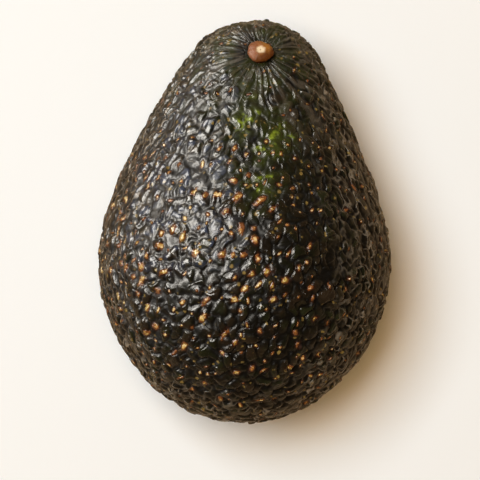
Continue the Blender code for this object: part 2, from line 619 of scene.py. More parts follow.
    def speck_fields(self, nearby: Nearby) -> tuple[np.ndarray, np.ndarray, np.ndarray]:
        """Places the specks and measures each skin point from its nearest one.

        Specks are thinned by chance and shrink towards the neck and the right,
        and are thickest low on the left.

        Args:
            nearby: The finder of what is near each skin point.

        Returns:
            The place in the nearest speck's own oval, where length 1 is its
            edge, a share that falls to 0 midway to the next speck, and the
            speck's tone from 0, orange, to 1, cream.
        """
        specks = self.specks
        rng = np.random.default_rng(specks.seed)
        middles = self.body.points(scattered(specks.tries, specks.jitter, rng))
        middles = middles[rng.random(len(middles)) < self.speck_share(middles)]
        apart = np.linalg.norm(middles[:, None, :] - middles[None, :, :], axis=2)
        middles = middles[~np.triu(apart < specks.spacing, 1).any(axis=0)]
        count = len(middles)
        share = self.speck_share(middles)
        widening = rng.random(count) ** specks.rarity * share
        across = specks.smallest + (specks.largest - specks.smallest) * widening
        along = across * rng.uniform(1.0, specks.longest, count)
        # specks are paler where they grow thickest, low on the left; their darker tone on the right is partly
        # painted shade
        tones = rng.random(count) * (0.25 + 0.70 * share)
        ways = unit(rng.normal(size=(count, 3)) + np.array(specks.lean))
        near, gaps = nearby.gaps(middles, specks.neighbours)
        column, _, margin = nearest_two(np.linalg.norm(gaps, axis=2))
        row = np.arange(len(near))
        found, gap = near[row, column], gaps[row, column]
        lengthwise = (gap * ways[found]).sum(axis=1, keepdims=True) * ways[found]
        oval = lengthwise / along[found][:, None] + (gap - lengthwise) / across[found][:, None]
        return oval, smooth(*specks.clearing, margin), tones[found]

    def speck_share(self, points: np.ndarray) -> np.ndarray:
        """How thickly specks grow: most low on the left, least near the stem.

        Args:
            points: Points of the smooth body, as rows.

        Returns:
            Shares from 0 to 1.
        """
        away, _ = self.stem_polar(points)
        x, y = points[:, 0], points[:, 1]
        low_left = smooth(0.022, -0.006, x) * smooth(0.026, 0.002, y) * smooth(-0.044, -0.020, y)
        return 0.12 + 0.24 * smooth(0.012, 0.045, away) + 0.64 * low_left

    def marks(self, points: np.ndarray, facing: np.ndarray) -> dict[str, np.ndarray]:
        """Works out where the wax is whole, and where fine ridges and wrinkles show.

        The wax is whole in a broad patch on the upper left, where the sheen lamp's
        reflection falls; there the tops also get a painted sheen colour. Fine ridges
        show where the skin is steep, and sooner on the right, and their crests get a
        painted glint colour. Wrinkles run out from the stem, furthest on the right of
        the neck, with the same painted glint.

        Args:
            points: Points of the smooth body, as rows.
            facing: How far the skin faces up there, from -1 to 1.

        Returns:
            Strengths from 0 to 1, named bloom, flank and fold.
        """
        away, _ = self.stem_polar(points)
        x, y = points[:, 0], points[:, 1]
        wavy = x + 0.002 * Ripple(0.008, 41).at(points)
        sooner = 0.12 * smooth(0.004, 0.022, x)
        far = 0.017 + 0.013 * smooth(0.002, 0.012, x)
        return {
            "wax_and_sheen": smooth(0.001, -0.009, wavy) * smooth(-0.020, -0.002, y),
            "flank": smooth(0.0, 0.5, 0.80 + sooner - facing),
            "fold": (1.0 - smooth(0.45, 1.0, away / far)) * smooth(0.0028, 0.0045, away),
        }

    def green(self, points: np.ndarray) -> np.ndarray:
        """Where the skin keeps some green.

        The streak, the patch and the bright spots are bell curves on the
        upper side, and a thin cast lies all round the neck. A random field
        makes them patchy.

        Args:
            points: Points of the smooth body, as rows.

        Returns:
            Strength from 0 to 1.
        """
        greens = self.greens
        x, y, z = points.T
        patchy = Ripple(greens.patchy, 31).at(points)
        upper = smooth(0.030, 0.042, z)
        middle, half_width = greens.streak
        streak = np.exp(-(((x - middle) / half_width) ** 2)) * smooth(*greens.streak_span, y)
        streak = streak * (1.0 - 0.3 * smooth(0.026, 0.036, y))
        across, along, half_width, half_length = greens.patch
        patch = np.exp(-(((x - across) / half_width) ** 2) - ((y - along) / half_length) ** 2)
        dull = (streak + 0.50 * patch) * (0.58 + 0.32 * patchy) * upper
        neck = 0.6 * smooth(0.012, 0.034, y) * (0.40 + 0.35 * patchy) * (1.0 - 0.45 * upper)
        spots = sum(
            np.exp(-(((x - across) ** 2 + (y - along) ** 2) / wide**2))
            for across, along, wide in greens.spots
        )
        bright = 0.75 * spots * (1.0 + 0.3 * patchy) * upper
        return np.clip(np.clip(dull + neck, 0.0, greens.dullest) + bright, 0.0, 1.0)


@dataclass(frozen=True)
class Stub:
    """The dried stub of the stem, turned round the stem's axis and a little lobed.

    Attributes:
        stem: Where it stands.
        foot: Depth of the dimple's floor below the smooth body.
        outline: Radius and height in metres from the foot up over the rim to the middle of the scar.
        sides: Points round the turn.
        rows: Points along the outline.
        easings: How often the outline's corners are eased.
        lobes: Size of three lobes, seven dents and seventeen wrinkles, as shares of the radius.
        lobed_from: Radius at which these have their full size.
        oval: Its size along the fruit over its size across.
        scar: Radius of the scar.
        top: Height of the rim of the scar.
    """

    stem: StemPlace
    foot: float = 0.0016
    outline: tuple[tuple[float, float], ...] = (
        (0.00000, -0.00225),
        (0.00150, -0.00225),
        (0.00182, -0.00190),
        (0.00186, 0.00040),
        (0.00268, 0.00078),
        (0.00306, 0.00112),
        (0.00310, 0.00148),
        (0.00272, 0.00196),
        (0.00196, 0.00232),
        (0.00128, 0.00250),
        (0.00098, 0.00240),
        (0.00050, 0.00236),
        (0.00000, 0.00234),
    )
    sides: int = 96
    rows: int = 110
    easings: int = 6
    lobes: tuple[float, float, float] = (0.045, 0.018, 0.010)
    lobed_from: float = 0.003
    oval: float = 0.89
    scar: float = 0.001
    top: float = 0.0025

    def build(self, material: bpy.types.Material) -> bpy.types.Object:
        """Makes the stub's object.

        The outline is read at even steps of its length, eased at its corners,
        and turned. Waves in the turn change the radius by lobes, dents and
        wrinkles, and the turn is an oval.

        Args:
            material: The stub's material.

        Returns:
            The object, named stem_stub.
        """
        radius, height, run = self.eased_outline()
        turn = np.linspace(0.0, 2.0 * math.pi, self.sides, endpoint=False)
        u, v = np.meshgrid(run, turn, indexing="ij")
        lobe, dent, wrinkle = self.lobes
        waves = lobe * np.cos(3.0 * v) + dent * np.cos(7.0 * v + 1.3) + wrinkle * np.cos(17.0 * v + 9.0 * u)
        r = radius[:, None] * (1.0 + np.clip(radius / self.lobed_from, 0.0, 1.0)[:, None] * waves)
        around = np.cos(v)[..., None] * self.stem.side + self.oval * np.sin(v)[..., None] * self.stem.front
        up = (height - self.foot)[:, None, None] * self.stem.axis
        points = self.stem.point + r[..., None] * around + up
        values = {
            "spread": self.pinched(np.repeat(radius[:, None] / self.scar, self.sides, axis=1)),
            "upness": self.pinched(np.repeat(height[:, None] / self.top, self.sides, axis=1)),
        }
        return make_object("stem_stub", self.pinched(points), self.faces(), material, values)

    def pinched(self, grid: np.ndarray) -> np.ndarray:
        """Lists a turned grid's inner rows, then one point for each of its closed ends.

        Args:
            grid: Values or points by row and side.

        Returns:
            The same as one list.
        """
        return np.concatenate([grid[1:-1].reshape(-1, *grid.shape[2:]), grid[[0, -1], 0]])

    def eased_outline(self) -> tuple[np.ndarray, np.ndarray, np.ndarray]:
        """Reads the outline at even steps and eases its corners, by the mean of neighbouring points.

        Returns:
            Radii, heights and the share of the run, one for each row.
        """
        marks = np.array(self.outline)
        length = np.concatenate([[0.0], np.cumsum(np.linalg.norm(np.diff(marks, axis=0), axis=1))])
        run = np.linspace(0.0, length[-1], self.rows)
        read = np.stack([np.interp(run, length, marks[:, k]) for k in range(2)], axis=1)
        for _ in range(self.easings):
            read[1:-1] = 0.25 * read[:-2] + 0.5 * read[1:-1] + 0.25 * read[2:]
        return read[:, 0], read[:, 1], run / length[-1]

    def faces(self) -> list[np.ndarray]:
        """Numbers the faces of the turned surface, which closes at two points.

        Returns:
            Quads and the end triangles, as rows of point numbers.
        """
        rings = self.rows - 2
        grid = np.arange(rings * self.sides).reshape(rings, self.sides)
        after = np.roll(grid, -1, axis=1)
        quads = np.stack([grid[:-1], after[:-1], after[1:], grid[1:]], axis=-1).reshape(-1, 4)
        low, high = (np.full(self.sides, grid.size + k) for k in range(2))
        foot = np.stack([after[0], grid[0], low], axis=-1)
        head = np.stack([grid[-1], after[-1], high], axis=-1)
        return [quads, foot, head]


def show(name: str, data: bpy.types.ID) -> bpy.types.Object:
    """Makes an object of a mesh, light or camera and puts it in the scene.

    Args:
        name: The object's name.
        data: What it shows.

    Returns:
        The object.
    """
    made = bpy.data.objects.new(name, data)
    bpy.context.scene.collection.objects.link(made)
    return made


def make_object(
    name: str,
    points: np.ndarray,
    faces: list[np.ndarray],
    material: bpy.types.Material,
    values: dict[str, np.ndarray],
) -> bpy.types.Object:
    """Makes a smooth-shaded mesh object from arrays.

    Args:
        name: Name of the object.
        points: Points in metres, as rows.
        faces: Arrays of faces, each face a row of point numbers.
        material: The material of all faces.
        values: Attributes by name, with one number or one vector for each point.

    Returns:
        The object, linked to the scene.
    """
    mesh = bpy.data.meshes.new(name)
    corners = np.concatenate([rows.reshape(-1) for rows in faces]).astype(np.int32)
    sizes = np.concatenate([np.full(len(rows), rows.shape[1]) for rows in faces])
    starts = np.concatenate([[0], np.cumsum(sizes)[:-1]]).astype(np.int32)
    mesh.vertices.add(len(points))
    mesh.vertices.foreach_set("co", points.astype(np.float32).reshape(-1))
    mesh.loops.add(len(corners))
    mesh.loops.foreach_set("vertex_index", corners)
    mesh.polygons.add(len(sizes))
    mesh.polygons.foreach_set("loop_start", starts)
    mesh.update(calc_edges=True)
    for key, numbers in values.items():
        kind, part = ("FLOAT", "value") if numbers.ndim == 1 else ("FLOAT_VECTOR", "vector")
        layer = mesh.attributes.new(key, kind, "POINT")
        layer.data.foreach_set(part, numbers.astype(np.float32).reshape(-1))
    mesh.materials.append(material)
    mesh.shade_smooth()
    mesh.validate()
    log.info("%s: %d points, %d faces", name, len(points), len(sizes))
    return show(name, mesh)


class Sheet:
    """A node tree with short ways to add and join nodes."""

    def __init__(self, tree: bpy.types.NodeTree) -> None:
        """Wraps a tree.

        Args:
            tree: The node tree to add to.
        """
        self.tree = tree
        self.column = 0

    def add(self, kind: str, label: str = "", **settings: object) -> bpy.types.Node:
        """Adds a node.

        Args:
            kind: The node's type name, without the ShaderNode in front.
            label: Text shown on the node.
            **settings: Properties set on the node.

        Returns:
            The node.
        """
        node = self.tree.nodes.new("ShaderNode" + kind)
        node.label = label
        node.location = (200.0 * (self.column % 12), -260.0 * (self.column // 12))
        self.column += 1
        for key, value in settings.items():
            setattr(node, key, value)
        return node

    def put(self, value: object, target: bpy.types.NodeSocket) -> None:
        """Gives an input a value, or joins an output to it.

        Args:
            value: A number, a tuple or an output socket.
            target: The input.
        """
        if isinstance(value, bpy.types.NodeSocket):
            self.tree.links.new(value, target)
        else:
            target.default_value = value

    def fill(self, node: bpy.types.Node, values: dict[str | int, object]) -> bpy.types.Node:
        """Gives several inputs of a node their values.

        Args:
            node: The node.
            values: Numbers, tuples or output sockets, by the input's name or number.

        Returns:
            The same node.
        """
        for key, value in values.items():
            self.put(value, node.inputs[key])
        return node

    def use(self, group: bpy.types.NodeTree, **values: object) -> bpy.types.Node:
        """Adds a group node.

        Args:
            group: The group.
            **values: The group's inputs by name.

        Returns:
            The group node.
        """
        return self.fill(self.add("Group", label=group.name, node_tree=group), values)

    def attribute(self, name: str, part: str = "Fac") -> bpy.types.NodeSocket:
        """Reads an attribute of the mesh.

        Args:
            name: The attribute's name.
            part: Fac for a number, Vector for a vector.

        Returns:
            The attribute's socket.
        """
        return self.add("Attribute", label=name, attribute_name=name).outputs[part]

    def math(self, operation: str, *values: object, clamp: bool = False) -> bpy.types.NodeSocket:
        """Adds a math node.

        Args:
            operation: The node's operation.
            *values: Its inputs, each a number or an output socket.
            clamp: Whether the result is kept from 0 to 1.

        Returns:
            The node's output.
        """
        node = self.add("Math", operation=operation, use_clamp=clamp)
        return self.fill(node, dict(enumerate(values))).outputs[0]

    def vector(self, operation: str, *values: object, part: str = "Vector") -> bpy.types.NodeSocket:
        """Adds a vector math node.

        Args:
            operation: The node's operation.
            *values: Its inputs, each a tuple or an output socket.
            part: Vector, or Value for a length or a dot product.

        Returns:
            The node's output.
        """
        node = self.add("VectorMath", operation=operation)
        return self.fill(node, dict(enumerate(values))).outputs[part]

    def ease(self, value: object, low: float, high: float) -> bpy.types.NodeSocket:
        """Eases a number from 0 at low to 1 at high, which may be the lower of the two.

        Args:
            value: The number's socket.
            low: Value that gives 0.
            high: Value that gives 1.

        Returns:
            The eased number's socket.
        """
        node = self.add("MapRange", interpolation_type="SMOOTHSTEP", clamp=True)
        start, end = sorted((low, high))
        flipped = float(low > high)
        ends = {"From Min": start, "From Max": end, "To Min": flipped, "To Max": 1.0 - flipped}
        return self.fill(node, {"Value": value, **ends}).outputs["Result"]

    def between(self, share: object, first: object, last: object) -> bpy.types.NodeSocket:
        """Goes evenly from one number at share 0 to another at share 1.

        Args:
            share: The share's socket.
            first: A number or a number's socket.
            last: A number or a number's socket.

        Returns:
            The result's socket.
        """
        values = {"Value": share, "To Min": first, "To Max": last}
        return self.fill(self.add("MapRange"), values).outputs["Result"]

    def blend(self, share: object, first: object, second: object) -> bpy.types.NodeSocket:
        """Mixes two colours.

        Args:
            share: How much of the second colour.
            first: A colour or a colour's socket.
            second: A colour or a colour's socket.

        Returns:
            The mixed colour's socket.
        """
        node = self.add("Mix", data_type="RGBA")
        return self.fill(node, {0: share, 6: first, 7: second}).outputs[2]

    def noise(
        self, where: object, scale: float, detail: float = 2.0, part: str = "Fac"
    ) -> bpy.types.NodeSocket:
        """Adds a noise texture.

        Args:
            where: The coordinates' socket.
            scale: Cells per metre.
            detail: How many finer layers it adds.
            part: Fac for one value, Color for three.

        Returns:
            The noise's socket, from 0 to 1.
        """
        values = {"Vector": where, "Scale": scale, "Detail": detail}
        return self.fill(self.add("TexNoise"), values).outputs[part]

    def patches(
        self, where: object, scale: float, detail: float, low: float, high: float
    ) -> bpy.types.NodeSocket:
        """Makes soft-edged patches of a noise.

        Args:
            where: The coordinates' socket.
            scale: Cells per metre.
            detail: How many finer layers the noise adds.
            low: Noise that gives 0.
            high: Noise that gives 1.

        Returns:
            The patches' socket, from 0 to 1.
        """
        return self.ease(self.noise(where, scale, detail), low, high)

    def bump(self, height: object, distance: float) -> bpy.types.NodeSocket:
        """Turns a height into a normal.

        Args:
            height: The height's socket.
            distance: Metres that a height of 1 stands for.

        Returns:
            The normal's socket.
        """
        values = {"Strength": 1.0, "Distance": distance, "Height": height}
        return self.fill(self.add("Bump"), values).outputs["Normal"]


NUMBER = "NodeSocketFloat"
VECTOR = "NodeSocketVector"
COLOUR = "NodeSocketColor"
Sockets = dict[str, bpy.types.NodeSocket]


def new_group(
    name: str, inputs: dict[str, str], outputs: dict[str, str]
) -> tuple[Sheet, Sockets, Sockets]:
    """Makes a shader node group with named sockets.

    Args:
        name: The group's name.
        inputs: Socket types by name.
        outputs: Socket types by name.

    Returns:
        A sheet of the group, its inputs as sockets to read, and its outputs as
        sockets to fill.
    """
    tree = bpy.data.node_groups.new(name, "ShaderNodeTree")
    for in_out, sockets in (("INPUT", inputs), ("OUTPUT", outputs)):
        for key, kind in sockets.items():
            tree.interface.new_socket(name=key, in_out=in_out, socket_type=kind)
    source = tree.nodes.new("NodeGroupInput")
    source.location = (-300.0, 0.0)
    sink = tree.nodes.new("NodeGroupOutput")
    sink.location = (2600.0, 0.0)
    given = {key: source.outputs[key] for key in inputs}
    return Sheet(tree), given, {key: sink.inputs[key] for key in outputs}


def new_material(name: str) -> tuple[bpy.types.Material, Sheet, bpy.types.Node]:
    """Makes a material with a Principled shader.

    Args:
        name: The material's name.

    Returns:
        The material, a sheet of its node tree, and its Principled node.
    """
    made = bpy.data.materials.new(name)
    made.use_nodes = True
    return made, Sheet(made.node_tree), made.node_tree.nodes["Principled BSDF"]


@dataclass(frozen=True)
class SkinFinish:
    """Colours and gloss of the ripe skin.

    Attributes:
        dark: Colour between the tops: the skin's own dark and painted shade in the grooves.
        brown: One colour of the tops.
        olive: The other colour of the tops.
        painted_sheen: Painted sheen: bluish colour on the tops where the wax is whole, where the sheen lamp's
            reflection falls.
        painted_ridge_glint: Painted glint: pale colour on the crests of the fine ridges and the wrinkles, for
            light caught at a slant.
        fleck: Colour of the small worn flecks.
        leaf: Colour of the green left.
        lime: Colour of its brightest patches.
        ring: Colour of the ring round a speck: its own red-brown, and painted shade of the moat round the
            raised speck.
        rust: Colour of the darkest specks.
        orange: Colour of some middling specks.
        gold: Colour of the others.
        cream: Colour of the palest specks.
        gloss: Roughness of the tops and of the grooves.
        wax: Weight and roughness of the clear coat.
        worn: How far the roughness and the coat's weight fall where the wax is worn.
        shine: Specular level.
        fuzz: Weight, roughness and tint of the dull light seen at a slant.
        ring_share: How much of the ring's colour shows.
        level: Stretch of the coordinates that makes the fine ridges lie level on the flanks.
    """

    dark: Colour = (0.0012, 0.0009, 0.0006, 1.0)
    brown: Colour = (0.0185, 0.0112, 0.0056, 1.0)
    olive: Colour = (0.0122, 0.0134, 0.0045, 1.0)
    painted_sheen: Colour = (0.033, 0.042, 0.072, 1.0)
    painted_ridge_glint: Colour = (0.245, 0.192, 0.136, 1.0)
    fleck: Colour = (0.200, 0.130, 0.032, 1.0)
    leaf: Colour = (0.034, 0.042, 0.0050, 1.0)
    lime: Colour = (0.23, 0.29, 0.024, 1.0)
    ring: Colour = (0.020, 0.0055, 0.0022, 1.0)
    rust: Colour = (0.19, 0.062, 0.016, 1.0)
    orange: Colour = (0.41, 0.180, 0.038, 1.0)
    gold: Colour = (0.42, 0.27, 0.045, 1.0)
    cream: Colour = (0.76, 0.56, 0.27, 1.0)
    gloss: tuple[float, float] = (0.29, 0.60)
    wax: tuple[float, float] = (0.24, 0.15)
    worn: tuple[float, float] = (0.04, 0.18)
    shine: float = 0.42
    fuzz: tuple[float, float, Colour] = (0.08, 0.45, (1.0, 0.74, 0.50, 1.0))
    ring_share: float = 0.85
    level: tuple[float, float, float] = (0.64, 0.64, 1.15)

    def tint_group(self) -> bpy.types.NodeTree:
        """Makes the group that colours the skin between the specks.

        Brown and olive tops stand out of the dark grooves, whose dark is partly the
        skin's own and partly painted shade. A painted sheen on the tops, a painted
        glint on the fine ridges, green, its bright patches and small worn flecks are
        laid over them in this order.

        Returns:
            The group, with inputs Where, Crown, Ridge, Haze and Green and output Color.
        """
        sheet, given, asked = new_group(
            "skin tint",
            {"Where": VECTOR, "Crown": NUMBER, "Ridge": NUMBER, "Haze": NUMBER, "Green": NUMBER},
            {"Color": COLOUR},
        )
        where, crown = given["Where"], given["Crown"]
        top = sheet.blend(sheet.patches(where, 150.0, 3.0, 0.40, 0.60), self.brown, self.olive)
        blotch = sheet.math("MULTIPLY_ADD", sheet.patches(where, 260.0, 2.0, 0.34, 0.62), 0.75, 0.35)
        # painted shade: low crowns, in the grooves, take the dark colour and high ones the tops' colours
        lit = sheet.ease(sheet.math("ADD", crown, sheet.noise(where, 800.0, 3.0)), 0.85, 1.60)
        skin = sheet.blend(sheet.math("MULTIPLY", lit, blotch), self.dark, top)
        # painted sheen: bluish patches on the tops where the wax is whole, standing for the lamp's reflection
        painted_sheen_patches = sheet.patches(where, 330.0, 1.0, 0.44, 0.60)
        painted_sheen_patches = sheet.math("MULTIPLY", painted_sheen_patches, sheet.ease(crown, 0.40, 0.80))
        skin = sheet.blend(sheet.math("MULTIPLY", painted_sheen_patches, given["Haze"]), skin, self.painted_sheen)
        # painted glint: pale crests of the fine ridges and the wrinkles, for light caught at a slant
        skin = sheet.blend(given["Ridge"], skin, self.painted_ridge_glint)
        clump = sheet.patches(where, 420.0, 2.0, 0.18, 0.64)
        green = sheet.math("MULTIPLY", given["Green"], clump, clamp=True)
        skin = sheet.blend(green, skin, self.leaf)
        bright = sheet.patches(where, 460.0, 2.0, 0.48, 0.72)
        bright = sheet.math("MULTIPLY", sheet.ease(green, 0.45, 0.85), bright)
        skin = sheet.blend(bright, skin, self.lime)
        flecks = self.flecks(sheet, where)
        sheet.put(sheet.blend(flecks, skin, self.fleck), asked["Color"])
        return sheet.tree

    def flecks(self, sheet: Sheet, where: object) -> bpy.types.NodeSocket:
        """Draws small flecks in patches: the middles of cells, shifted by a noise so they are uneven.

        Args:
            sheet: The sheet to add to.
            where: The coordinates' socket.

        Returns:
            The flecks' socket, from 0 to 1.
        """
        shift = sheet.noise(where, 900.0, part="Color")
        shifted = sheet.vector("MULTIPLY_ADD", shift, (0.0009, 0.0009, 0.0009), where)
        cells = sheet.fill(sheet.add("TexVoronoi"), {"Vector": shifted, "Scale": 430.0})
        dots = sheet.ease(cells.outputs["Distance"], 0.24, 0.12)
        return sheet.math("MULTIPLY", dots, sheet.patches(where, 260.0, 1.0, 0.43, 0.53))

    def speck_group(self) -> bpy.types.NodeTree:
        """Makes the group that draws the specks: a worn dome, a dark ring and a ridge round it.

        All of these follow the distance from a speck's middle, as a share of
        its half-width, made ragged by a noise. The middle and the worn spots
        are the palest.

        Returns:
            The group, with inputs Where, Offset, Clear and Tone and outputs
            Mask, Ring, Height in millimetres and Color.
        """
        sheet, given, asked = new_group(
            "corky specks",
            {"Where": VECTOR, "Offset": VECTOR, "Clear": NUMBER, "Tone": NUMBER},
            {"Mask": NUMBER, "Ring": NUMBER, "Height": NUMBER, "Color": COLOUR},
        )
        where, clear = given["Where"], given["Clear"]
        ragged = sheet.math("MULTIPLY_ADD", sheet.noise(where, 950.0, 1.0), 1.7, -0.85)
        share = sheet.math("ADD", sheet.vector("LENGTH", given["Offset"], part="Value"), ragged)
        sheet.put(sheet.math("MULTIPLY", sheet.ease(share, 1.20, 0.90), clear), asked["Mask"])
        # the dark ring round each speck is partly its own colour and partly painted shade of the moat
        sheet.put(sheet.math("MULTIPLY", sheet.ease(share, 2.3, 1.3), clear), asked["Ring"])
        dome = sheet.math("MULTIPLY", sheet.ease(share, 1.3, 0.3), 0.22)
        ridge = sheet.math("SUBTRACT", sheet.ease(share, 1.5, 2.3), sheet.ease(share, 2.5, 3.6))
        cork = sheet.math("MULTIPLY", sheet.ease(share, 1.2, 0.8), sheet.noise(where, 2000.0))
        height = sheet.math("MULTIPLY_ADD", ridge, 0.07, dome)
        height = sheet.math("MULTIPLY_ADD", cork, 0.10, height)
        sheet.put(sheet.math("MULTIPLY", height, clear), asked["Height"])
        worn = sheet.patches(where, 2200.0, 2.0, 0.40, 0.68)
        tone = sheet.math("MULTIPLY_ADD", worn, 0.70, given["Tone"])
        edge = sheet.math("MULTIPLY_ADD", sheet.ease(share, 0.2, 1.0), 1.1, 0.08)
        tone = sheet.math("SUBTRACT", tone, edge, clamp=True)
        middling = sheet.blend(sheet.patches(where, 170.0, 1.0, 0.42, 0.58), self.orange, self.gold)
        warm = sheet.blend(sheet.ease(tone, 0.0, 0.35), self.rust, middling)
        sheet.put(sheet.blend(sheet.ease(tone, 0.35, 1.0), warm, self.cream), asked["Color"])
        return sheet.tree

    def relief_group(self) -> bpy.types.NodeTree:
        """Makes the group of relief finer than the mesh: winding ridges, creases and a faint grain.

        The ridges and the creases follow the lines where a smooth noise
        crosses its middle value. The ridges read stretched coordinates and
        are strongest on the flanks. Ridges and creases are shallower under
        whole wax. Rays do the same with a noise read in the direction from
        the stem, so they run outwards. The crests of the ridges on the flanks
        and under whole wax, and of the rays, also set the share of a painted
        glint: pale colour that stands for light caught at a slant.

        Returns:
            The group, with inputs Where, Bloom, Flank, Fold and Outward and
            outputs Height in millimetres and Ridge, from 0 to 1.
        """
        sheet, given, asked = new_group(
            "fine relief",
            {"Where": VECTOR, "Bloom": NUMBER, "Flank": NUMBER, "Fold": NUMBER, "Outward": VECTOR},
            {"Height": NUMBER, "Ridge": NUMBER},
        )
        where, wax_and_sheen = given["Where"], given["Bloom"]
        level = sheet.vector("MULTIPLY", where, self.level)
        ridge, crease, ray = (
            sheet.math("ABSOLUTE", sheet.math("SUBTRACT", sheet.noise(way, scale, 1.0), 0.5))
            for way, scale in ((level, 390.0), (where, 240.0), (given["Outward"], 4.7))
        )
        fading = sheet.math("MULTIPLY_ADD", sheet.patches(where, 300.0, 2.0, 0.34, 0.60), 0.7, 0.3)
        ridge = sheet.math("MULTIPLY", sheet.ease(ridge, 0.050, 0.0), fading)
        ray = sheet.math("MULTIPLY", sheet.ease(ray, 0.100, 0.0), given["Fold"])
        tall = sheet.math("MULTIPLY_ADD", given["Flank"], 0.18, 0.065)
        tall = sheet.math("MULTIPLY_ADD", wax_and_sheen, -0.035, tall)
        deep = sheet.math("MULTIPLY_ADD", wax_and_sheen, -0.045, 0.08)
        height = sheet.math("MULTIPLY", sheet.noise(where, 2400.0), 0.012)
        for part, size in ((ridge, tall), (sheet.ease(crease, 0.0, 0.070), deep), (ray, 0.26)):
            height = sheet.math("MULTIPLY_ADD", part, size, height)
        sheet.put(height, asked["Height"])
        # painted glint share: ridge crests on the flanks, a little under whole wax, plus the rays
        shown = sheet.math("MULTIPLY_ADD", wax_and_sheen, 0.25, given["Flank"], clamp=True)
        shown = sheet.math("MULTIPLY", ridge, shown)
        sheet.put(sheet.math("MULTIPLY_ADD", ray, 0.22, shown, clamp=True), asked["Ridge"])
        return sheet.tree

    def material(self, stem: StemPlace) -> bpy.types.Material:
        """Makes the skin's material.

        Args:
            stem: Where the stem grows, which the wrinkles run out from.

        Returns:
            The material.
        """
        made, sheet, shader = new_material("ripe_skin")
        where = sheet.add("TexCoord").outputs["Object"]
        keys = ("wax_and_sheen", "crown", "flank", "fold", "green", "speck_clear", "speck_tone")
        wax_and_sheen, crown, flank, fold, green, clear, tone = (sheet.attribute(key) for key in keys)
        offset = sheet.attribute("speck_offset", "Vector")
        way = sheet.vector("NORMALIZE", sheet.vector("SUBTRACT", where, stem.point))
        fine = sheet.use(self.relief_group(), Where=where, Bloom=wax_and_sheen, Flank=flank, Fold=fold, Outward=way)
        # share of the painted glint colour on ridge and ray crests
        ridge = fine.outputs["Ridge"]
        # painted sheen share: where the wax is whole, away from the flanks
        painted_sheen = sheet.math("MULTIPLY", wax_and_sheen, sheet.math("SUBTRACT", 1.0, flank))
        tint = sheet.use(self.tint_group(), Where=where, Crown=crown, Ridge=ridge, Haze=painted_sheen, Green=green)
        speck = sheet.use(self.speck_group(), Where=where, Offset=offset, Clear=clear, Tone=tone)
        # ring round each speck: its own red-brown and painted shade of the moat
        ring = sheet.math("MULTIPLY", speck.outputs["Ring"], self.ring_share)
        colour = sheet.blend(ring, tint.outputs["Color"], self.ring)
        colour = sheet.blend(speck.outputs["Mask"], colour, speck.outputs["Color"])
        worn = sheet.math("SUBTRACT", 1.0, wax_and_sheen)
        smoother, thinner = self.worn
        tops, grooves = self.gloss
        rough = sheet.between(crown, grooves, tops)
        coat, coat_roughness = self.wax
        fuzz, fuzz_roughness, fuzz_tint = self.fuzz
        height = sheet.math("ADD", speck.outputs["Height"], fine.outputs["Height"])
        normal = sheet.bump(height, MM)
        inputs = {
            "Base Color": colour,
            "Roughness": sheet.math("MULTIPLY_ADD", worn, -smoother, rough),
            "Coat Weight": sheet.math("MULTIPLY_ADD", worn, -thinner, coat),
            "Coat Roughness": coat_roughness,
            "Specular IOR Level": self.shine,
            "Sheen Weight": fuzz,
            "Sheen Roughness": fuzz_roughness,
            "Sheen Tint": fuzz_tint,
            "Normal": normal,
            "Coat Normal": normal,
        }
        sheet.fill(shader, inputs)
        return made


